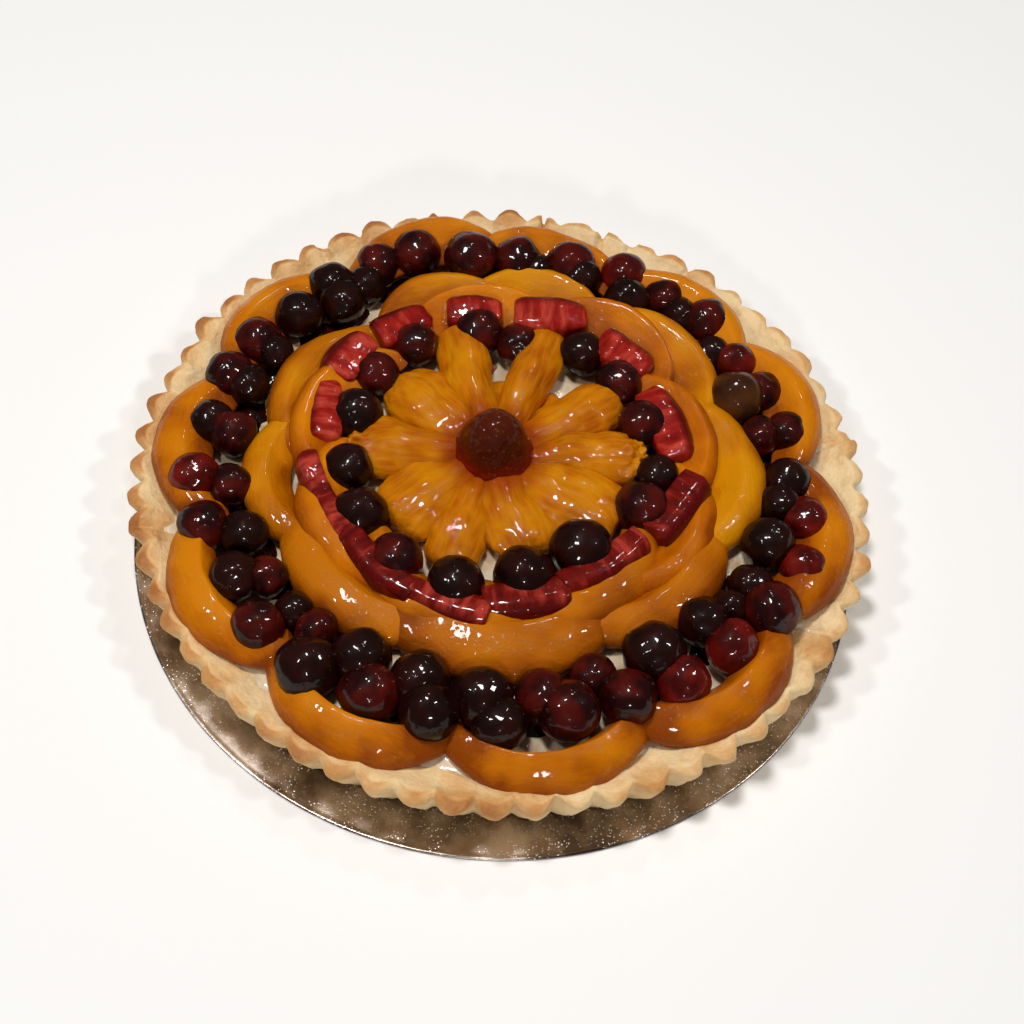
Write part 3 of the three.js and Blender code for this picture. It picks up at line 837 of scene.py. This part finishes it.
for ring, material, row, lean in (
    ("outer", PEACH_OUTER, OUTER_PEACHES, 0.0),
    ("lower", PEACH_LOWER, LOWER_PEACHES, 0.05),
    ("upper", PEACH_UPPER, UPPER_PEACHES, 0.3),
):
    for i, place in enumerate(row):
        node = f"peach_{ring}_{i + 1}"
        # The front slices of the two inner tiers take the darker copy, which is painted shade.
        darkened = ring != "outer" and 220 < place[0] < 330
        tone = PEACH_SHADED if darkened else material
        peach_slice(f"slice_{ring}_{i + 1}", tone, node, *place, lean=lean)
print("peach slices:", len(OUTER_PEACHES) + len(LOWER_PEACHES) + len(UPPER_PEACHES))

# %% [markdown]
# ## Cut strawberries
#
# Each piece is a length of strawberry with one rounded skin side and flat cut faces. Six
# cross-sections of six points make it, with the edges of the cut faces creased. They lie on
# the inner edge of the peaches, so they stand a little higher than the berries. Those at the
# front (-Y) are even slabs that stand on edge.

# %% Cut strawberries
STRAWBERRY_SECTION = [(-1, -1), (-1, 0.8), (0.3, 1.0), (0.9, 0.6), (1.05, -0.35), (0.7, -1)]
STRAWBERRY_SPINE = [(-1, 0.72), (-0.86, 0.95), (-0.3, 1.06), (0.3, 1.02), (0.84, 0.86), (1, 0.6)]


def strawberry_piece(name, node, x, y, long, wide, high, turn=0.0, bend=0.0):
    rings = []
    slab = y < 0
    for along, size in STRAWBERRY_SPINE:
        if slab:
            size = 0.6 + 0.4 * size
        off = -bend * along * along
        rings.append(
            [(along * long, a * wide * size + off, u * high * 0.82 * (0.4 + 0.6 * size))
             for a, u in STRAWBERRY_SECTION]
        )
    points, faces = loft(rings)
    tone = STRAWBERRY_SOAKED if slab else STRAWBERRY_CUT
    obj = piece(name, points, faces, tone, node)
    n = len(STRAWBERRY_SECTION)
    crisp = [(i * n + k, (i + 1) * n + k) for i in range(len(rings) - 1) for k in (1, 2)]
    last = n * (len(rings) - 1)
    crisp += [(start + k, start + (k + 1) % n) for start in (0, last) for k in range(n)]
    soften(obj, 2, crisp, 0.6)
    seed = chance.uniform(0, 90)
    roughen(obj, 0.7 if slab else 1.6, 14, seed)
    roughen(obj, 0.3, 3, seed)
    heading = math.degrees(math.atan2(y, x)) - 90 + turn
    lift = 11.5 if slab else 9.5
    put(obj, x, y, cream_top(math.hypot(x, y)) + lift, heading)


# Place from the tart's axis, half sizes, turn in degrees, and how far the ends bend inwards.
STRAWBERRIES = [
    (11.5, 75, 14, 8.5, 9, 12), (-19, 73, 11, 7.5, 8, -6), (-46.5, 62.5, 11.5, 8.5, 8, 2),
    (-64, 43.5, 11.5, 8.5, 8, 8), (-70.5, 16, 13.5, 7, 8, 18), (-66, -26, 20, 5, 7, 11, 3),
    (-43, -53, 18.5, 5.5, 7, -3, 3), (-16, -66, 16, 5.5, 7, -2, 2), (13.5, -61, 16, 7, 7, 3, 2),
    (41, -42.5, 18.5, 6, 7, -2, 3), (65.5, -12.5, 15.5, 7, 7, -19, 1), (60, 27, 16, 8.5, 8, -1, 2),
    (41.5, 59.5, 11.5, 8.5, 8, 0),
]
for i, place in enumerate(STRAWBERRIES):
    strawberry_piece(f"cut_strawberry_{i + 1}", f"strawberry_piece_{i + 1}", *place)
print("cut strawberries:", len(STRAWBERRIES))

# %% [markdown]
# ## The mandarin rosette
#
# Ten segments point out from the middle. Each is narrow at its inner end and round at its
# outer end, with a low ridge along its back. They are ripe enough to sag into each other, so
# they are made wide, and a low bed of loose pulp fills the valleys between them. Two of them
# are broken, and there the ends of the juice sacs stand out like bristles.

# %% Mandarin rosette
MANDARIN_HEIGHT = 7.6
SAC_RELIEF = 0.16
MANDARIN_SECTION = [
    (-1, -0.2), (-0.82, 0.42), (-0.36, 0.84), (0, 0.98), (0.32, 0.86), (0.78, 0.45),
    (1, -0.2), (0.7, -0.8), (0, -1), (-0.7, -0.8),
]
# How wide and how high a segment is along its length: (place, width, height).
MANDARIN_SPINE = [
    (0.0, 0.4, 0.45), (0.1, 0.62, 0.72), (0.28, 0.82, 0.94), (0.5, 0.96, 1.02),
    (0.7, 1.04, 1.02), (0.86, 0.98, 0.92), (0.95, 0.78, 0.72), (1.0, 0.48, 0.42),
]


def mandarin_segment(name, node, at, start, end, wide, lift, broken=False):
    rings = []
    curl = chance.uniform(-0.05, 0.05)
    for along, w, h in MANDARIN_SPINE:
        x = (along - 0.5) * (end - start)
        bend = curl * (end - start) * math.sin(math.pi * along)
        rings.append(
            [(x, a * wide / 2 * w + bend, u * MANDARIN_HEIGHT * h) for a, u in MANDARIN_SECTION]
        )
    points, faces = loft(rings)
    obj = piece(name, points, faces, MANDARIN, node)
    soften(obj, 3)
    seed = chance.uniform(0, 90)
    roughen(obj, 2.2, 14, seed)
    roughen(obj, 0.6, 5, seed)
    tip = (end - start) / 2
    if broken:
        roughen(obj, 3.5, 2.4, seed, lambda p: max(0.0, (p.x - tip * 0.5) / (tip * 0.5)))
    for v in obj.data.vertices:
        p = v.co / MM
        sac = noise.noise(Vector((p.x / 9, p.y / 1.8, p.z / 1.8 + seed)))
        v.co += v.normal * sac * SAC_RELIEF * MM
    middle = (start + end) / 2
    angle = math.radians(at)
    x = ROSETTE[0] + middle * math.cos(angle)
    y = ROSETTE[1] + middle * math.sin(angle)
    put(obj, x, y, CREAM_CENTRE + lift, at)


# Direction in degrees, inner and outer end, width and height above the cream in mm.
MANDARINS = [
    (333, 8, 55, 40, 5), (294, 6, 46, 30, 5.5), (225, 8, 49, 33, 5.5), (141, 8, 51, 30, 5.5),
    (108, 10, 62, 23, 6.5), (75, 10, 66, 21, 6.5), (38, 10, 57, 25, 6), (6, 10, 58, 24, 6, True),
    (257, 8, 53, 23, 5), (180, 10, 55, 28, 6, True),
]
for i, place in enumerate(MANDARINS):
    mandarin_segment(f"segment_{i + 1}", f"mandarin_{i + 1}", *place)
print("mandarin segments:", len(MANDARINS))

# %% [markdown]
# The loose pulp is a turned mound, low at its edge, that noise breaks up into lumps. It has no
# solid of its own, and shares the node of the first segment.

# %% Pulp between the segments
pulp_profile = [(0.5, 24), (20, 24), (38, 24), (41, 26.5), (39, 29.5), (33, 31.5), (24, 32.5)]
pulp_profile += [(14, 33), (6, 33), (0.5, 33)]
points, faces = turned(pulp_profile, 90)
pulp = piece("loose_pulp", points, faces, MANDARIN, "mandarin_1")
soften(pulp, 1)
roughen(pulp, 5.0, 12, 5)
roughen(pulp, 1.4, 4, 6)
put(pulp, *ROSETTE, 0)
print("pulp:", [round(d / MM, 1) for d in pulp.dimensions], "mm")

# %% [markdown]
# ## Berries
#
# Berries are nearly round, but no two are the same. Each starts as an even ball of triangles,
# is pressed a little flat, pushed out of true by broad noise, and given the small dimple of
# its stalk. Its underside is pressed flat where it sits. They are drawn a little larger than
# their solids, which keep a gap, so that neighbours touch.

# %% One berry
BERRY_GROWTH = 1.06
PRESSED = 0.95
SEAT = 0.8
DIMPLE_WIDTH = 0.3


def berry(name, node, x, y, r, kind):
    r *= BERRY_GROWTH
    mesh = bpy.data.meshes.new(name)
    work = bmesh.new()
    bmesh.ops.create_icosphere(work, subdivisions=4, radius=r * MM)
    stalk = Vector((chance.uniform(-1, 1), chance.uniform(-1, 1), chance.uniform(0.0, 0.9)))
    stalk.normalize()
    seed = Vector((chance.uniform(0, 50), 0, 0))
    for v in work.verts:
        way = v.co.normalized()
        off = way.angle(stalk)
        swell = 0.1 * noise.noise(way * 1.1 + seed) - 0.1 * math.exp(-((off / DIMPLE_WIDTH) ** 2))
        swell += 0.02 * noise.noise(way * 5 + seed)
        v.co *= 1 + swell
        v.co.z = max(v.co.z * PRESSED, -SEAT * r * MM)
    work.to_mesh(mesh)
    work.free()
    obj = dress(add_object(name, mesh), BERRIES[kind], node)
    put(obj, x, y, cream_top(math.hypot(x, y)) + 0.92 * r, chance.uniform(0, 360))


print("a berry of 9 mm is drawn", round(9 * BERRY_GROWTH, 2), "mm in radius")

# %% [markdown]
# The outer berries lie in two staggered rows and the inner ones in a single ring. The CAD keeps
# those of one quarter of the outer ring in one node, numbered from +X towards +Y.

# %% The rings of berries
# Each berry: x, y and radius in mm from the tart's axis, and how ripe it is.
OUTER_BERRIES = [
    (107, 12, 8.5, "black"), (104, 0, 8, "black"), (96, 32, 7.5, "wine"), (106, 35, 8, "wine"),
    (86, 48, 10, "brown"), (96, 54, 8, "wine"), (85, 67, 8, "red"), (76, 70, 7.5, "black"),
    (73, 86, 9, "wine"), (63, 88, 7.5, "black"), (56, 96, 8, "wine"), (39, 105, 9, "red"),
    (41, 93, 8.5, "black"), (22, 101, 8, "black"), (17, 107, 9.5, "wine"), (3, 102, 7.5, "black"),
    (-4, 106, 9.5, "wine"), (-23, 104, 10.5, "wine"), (-45, 105, 9.5, "wine"),
    (-60, 97, 8.5, "wine"), (-63, 86, 7.5, "black"), (-76, 83, 9, "black"),
    (-71, 75, 8.5, "black"), (-87, 66, 9, "black"), (-101, 51, 9, "wine"), (-94, 46, 7.5, "black"),
    (-109, 33, 9, "wine"), (-101, 29, 8, "black"), (-112, 10, 8.5, "black"),
    (-103, 5, 8.5, "wine"), (-114, -16, 9, "red"), (-100, -19, 8, "wine"), (-107, -38, 9, "wine"),
    (-92, -40, 8.5, "black"), (-92, -59, 9, "black"), (-81, -57, 7.5, "wine"),
    (-81, -78, 9, "wine"), (-69, -70, 7, "black"), (-60, -77, 7.5, "wine"),
    (-61, -94, 11, "black"), (-43, -88, 10.5, "black"), (-38, -101, 10.5, "wine"),
    (-21, -95, 10.5, "black"), (-17, -106, 10.5, "black"), (1, -98, 10.5, "black"),
    (8, -107, 9.5, "black"), (22, -95, 9.5, "wine"), (31, -100, 10.5, "wine"),
    (39, -84, 8, "wine"), (52, -92, 10, "wine"), (60, -73, 11, "black"), (71, -82, 9.5, "red"),
    (77, -57, 9, "black"), (88, -65, 9.5, "red"), (87, -48, 7, "black"), (94, -38, 8, "black"),
    (102, -48, 10, "wine"), (100, -19, 9.5, "black"), (113, -27, 8.5, "red"),
    (114, -5, 8.5, "red"),
]
INNER_BERRIES = [
    (-40, 55, 8.5, "wine"), (-16, 64, 9, "wine"), (0, 61, 8, "wine"), (25, 60, 8.5, "black"),
    (40, 46, 9, "wine"), (50, 27, 9.5, "wine"), (57, 5, 8, "black"), (52, -13, 10, "wine"),
    (31, -34, 11, "black"), (11, -49, 11, "black"), (-13, -56, 10.5, "black"),
    (-36, -47, 10, "wine"), (-51, -29, 10, "black"), (-58, -8, 9, "black"),
    (-58, 17, 9.5, "black"), (-53, 38, 8.5, "wine"),
]
for i, place in enumerate(OUTER_BERRIES):
    quarter = int(math.degrees(math.atan2(place[1], place[0])) % 360 // 90) + 1
    berry(f"berry_outer_{i + 1}", f"berries_outer_{quarter}", *place)
for i, place in enumerate(INNER_BERRIES):
    berry(f"berry_inner_{i + 1}", "berries_inner", *place)
print("berries:", len(OUTER_BERRIES) + len(INNER_BERRIES))

# %% [markdown]
# The juice lies between the berries as a thin, uneven pool, and its dark colour is partly painted
# shade in the gaps. It is a turned ribbon whose top dips under the cream wherever the noise is
# low, and there the pale cream shows. Between the outer berries it is dark; between the inner
# ones it only tints the cream, which is also partly painted shade.

# %% Juice pools
def juice_pool(name, kind, inner, outer, cover, *nodes):
    middle = (inner + outer) / 2
    top = [inner + (outer - inner) * k / 6 for k in range(7)]
    profile = [(r, cream_top(r) - 2.5) for r in top]
    profile += [(r, cream_top(r) + cover - abs(r - middle) * 0.06) for r in reversed(top)]
    points, faces = turned(profile, 240, closed=True)
    obj = piece(name, points, faces, BERRIES[kind], *nodes)
    soften(obj, 1)
    for v in obj.data.vertices:
        p = v.co / MM
        if p.z > cream_top(math.hypot(p.x, p.y)) - 1:
            rise = noise.noise(p / 9) * 4.0 + noise.noise(p / 3.5) * 1.2
            edge = min(1.0, ((math.hypot(p.x, p.y) - middle) / (outer - middle)) ** 2)
            v.co.z += (max(rise, -2.4) * (1 - edge) - 2.2 * edge) * MM
    put(obj, 0, 0, 0)
    print(name, [round(d / MM, 1) for d in obj.dimensions], "mm")


outer_nodes = [f"berries_outer_{q}" for q in (1, 2, 3, 4)]
# A dark pool among the outer berries and a tint among the inner ones, each partly painted shade.
juice_pool("juice_outer", "juice", 87, 113, 1.0, *outer_nodes)
juice_pool("juice_inner", "stained", 49, 64, 0.2, "berries_inner")

# %% [markdown]
# ## The strawberry in the middle
#
# A whole strawberry stands on its cut end with its tip up: a turned bell, with a pit pushed
# in wherever a seed sits. The foot spreads a little where it sank into the mandarins.

# %% Whole strawberry
centre_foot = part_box("strawberry_centre")[0].z / MM
BELL = [
    (4, 0), (10, 0), (13.8, 0.6), (14.6, 2), (14.2, 4), (13.4, 6.4), (12.7, 9), (11.8, 12.4),
    (10.3, 15.6), (8.2, 18.6), (5.4, 21.2), (2.6, 22.5), (0.6, 22.8),
]
points, faces = turned(BELL, 48)
whole = piece("whole_strawberry", points, faces, STRAWBERRY_WHOLE, "strawberry_centre")
soften(whole, 2)
roughen(whole, 1.4, 12, 7)
roughen(whole, 0.35, 3, 8, lambda p: 1.0 if p.z > 3 else 0.0)
put(whole, *ROSETTE, centre_foot + 1)
print("whole strawberry:", [round(d / MM, 1) for d in whole.dimensions], "mm")

# %% [markdown]
# ## Floor, light and camera
#
# A pale floor, a dim even surround, and the lamps of a kitchen. Wet glaze shows the lamps that
# it reflects: one large soft box would lie on every berry as a grey haze, so the light comes
# from five small discs around the table. Their shadows add up to a soft one, and each puts a
# sharp spark on every berry. A disc's power is worked out from the light that it should give
# at the tart, where 1 makes a white sheet just white.

# %% Floor and surround
SURROUND = 0.1
FLOOR, tree, body, spot = start_material("studio_floor", "floor", Roughness=0.9)
body.inputs["Base Color"].default_value = linear("#FCFCFC")
bpy.ops.mesh.primitive_plane_add(size=6)
floor = bpy.context.object
floor.name = "studio_floor"
floor.data.materials.append(FLOOR)

world = bpy.data.worlds.new("studio")
bpy.context.scene.world = world
world.use_nodes = True
background = world.node_tree.nodes["Background"]
background.inputs["Color"].default_value = linear("#FFFAF4")
background.inputs["Strength"].default_value = SURROUND
print("floor:", [round(d, 2) for d in floor.dimensions], "m")

# %% Lamps
def lamp(name, light, size, place, tint="#FFFDFA"):
    data = bpy.data.lights.new(name, "AREA")
    data.shape = "DISK"
    data.size = size
    data.energy = light * (math.pi * Vector(place).length) ** 2
    data.color = linear(tint)[:3]
    obj = add_object(name, data)
    obj.location = place
    obj.rotation_euler = (-Vector(place)).to_track_quat("-Z", "Y").to_euler()
    print(name, round(data.energy, 2), "W")


# Light at the tart, the disc's size and its place, in metres.
lamp("lamp_ceiling", 0.52, 0.26, (-0.25, 0.15, 1.5))
lamp("lamp_left", 0.16, 0.12, (-0.75, -0.25, 1.1))
lamp("lamp_right", 0.16, 0.12, (0.75, 0.1, 1.1))
lamp("lamp_front", 0.16, 0.12, (0.1, -1.1, 0.7))
lamp("lamp_back", 0.06, 0.1, (0.2, 0.75, 1.1))

# %% [markdown]
# The camera looks down at the tart from a little over fifty degrees, as a person standing at a
# table does, and is held slightly askew. It is given by where it stands from the middle of the
# rim: how high, how far, how much it rolls, and how far off the middle it aims.

# %% Camera
ELEVATION = math.radians(53.95)
ROLL = math.radians(6.34)
DISTANCE = 0.829
AIM_ASIDE = math.radians(-0.22)
AIM_BELOW = math.radians(0.80)
LENS = 77.3

view = Vector((0, math.cos(ELEVATION), -math.sin(ELEVATION)))
right = Vector((1, 0, 0))
up = right.cross(view)
middle_of_rim = Vector((AXIS.x, AXIS.y, RIM_TOP)) * MM
place = middle_of_rim - view * DISTANCE
rolled_right = right * math.cos(ROLL) + up * math.sin(ROLL)
rolled_up = up * math.cos(ROLL) - right * math.sin(ROLL)
aimed = view * math.cos(AIM_ASIDE) - rolled_right * math.sin(AIM_ASIDE)
aimed_right = rolled_right * math.cos(AIM_ASIDE) + view * math.sin(AIM_ASIDE)
forward = aimed * math.cos(AIM_BELOW) - rolled_up * math.sin(AIM_BELOW)
aimed_up = rolled_up * math.cos(AIM_BELOW) + aimed * math.sin(AIM_BELOW)

camera_data = bpy.data.cameras.new("camera")
camera_data.lens = LENS
camera_data.sensor_width = 36
camera = add_object("camera", camera_data)
turned_to = Matrix((aimed_right, aimed_up, -forward)).transposed().to_4x4()
camera.matrix_world = Matrix.Translation(place) @ turned_to
bpy.context.scene.camera = camera
bpy.context.scene.view_settings.view_transform = "Standard"
print("camera at", [round(c, 3) for c in place], "m")
